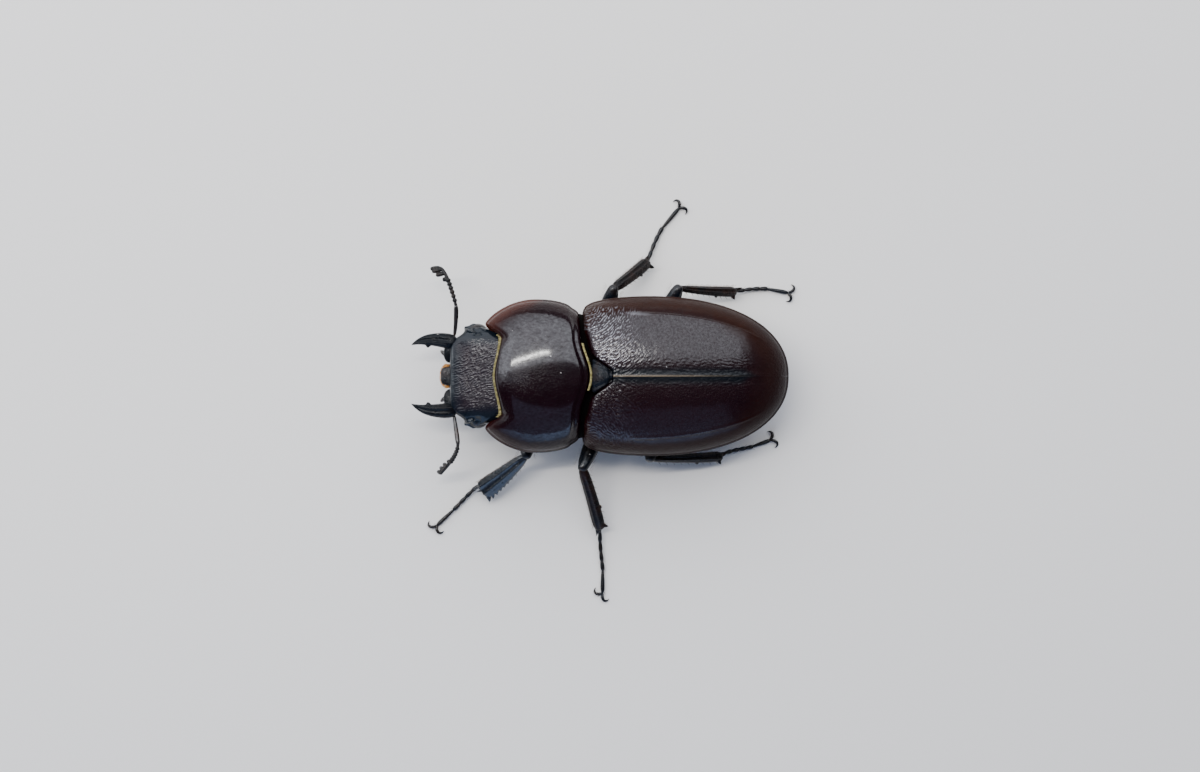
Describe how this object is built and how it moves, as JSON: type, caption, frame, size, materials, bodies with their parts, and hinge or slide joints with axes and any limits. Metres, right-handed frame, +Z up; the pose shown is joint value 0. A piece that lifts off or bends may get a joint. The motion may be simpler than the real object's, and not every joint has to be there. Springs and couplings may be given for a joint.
{
  "type": "stag beetle",
  "caption": "Still, life-size model of a walking stag beetle with short open jaws, elbowed feelers with combs, a polished thorax shield, maroon wing cases and spread, spiny legs",
  "frame": {"origin": "on the ground, under the middle of the bounding box of the standing beetle", "axes": "+Z up, the beetle faces -X with its tail towards +X, its right side is towards +Y"},
  "size_m": [0.037, 0.0392, 0.0102],
  "materials": {
    "chitin_maroon": "polished dark mahogany shell with a soft sheen, redder and slightly see-through at its side margins",
    "chitin_black": "near-black shell, finely wrinkled and half gloss, with bluish highlights",
    "chitin_brown": "dark reddish-brown shell, half gloss",
    "eye_black": "glossy black faceted eye"
  },
  "bodies": {
    "root": {"head": "chitin_black", "labrum": "chitin_black", "eye_right": "eye_black", "eye_left": "eye_black", "mandible_right": "chitin_black", "mandible_left": "chitin_black", "palp_right": "chitin_brown", "palp_left": "chitin_brown", "antenna_right_scape": "chitin_black", "antenna_left_scape": "chitin_black", "antenna_right_lash": "chitin_brown", "antenna_left_lash": "chitin_brown", "pronotum": "chitin_maroon", "prosternum": "chitin_black", "scutellum": "chitin_black", "elytron_right": "chitin_maroon", "elytron_left": "chitin_maroon", "metasternum": "chitin_black", "abdomen": "chitin_brown", "leg_front_right_coxa": "chitin_black", "leg_front_right_femur": "chitin_black", "leg_front_right_tibia": "chitin_black", "leg_front_right_tarsus": "chitin_black", "leg_front_left_coxa": "chitin_black", "leg_front_left_femur": "chitin_black", "leg_front_left_tibia": "chitin_black", "leg_front_left_tarsus": "chitin_black", "leg_middle_right_coxa": "chitin_black", "leg_middle_right_femur": "chitin_black", "leg_middle_right_tibia": "chitin_brown", "leg_middle_right_tarsus": "chitin_black", "leg_middle_left_coxa": "chitin_black", "leg_middle_left_femur": "chitin_black", "leg_middle_left_tibia": "chitin_brown", "leg_middle_left_tarsus": "chitin_black", "leg_hind_right_coxa": "chitin_black", "leg_hind_right_femur": "chitin_black", "leg_hind_right_tibia": "chitin_brown", "leg_hind_right_tarsus": "chitin_black", "leg_hind_left_coxa": "chitin_black", "leg_hind_left_femur": "chitin_black", "leg_hind_left_tibia": "chitin_brown", "leg_hind_left_tarsus": "chitin_black"}
  },
  "joints": []
}
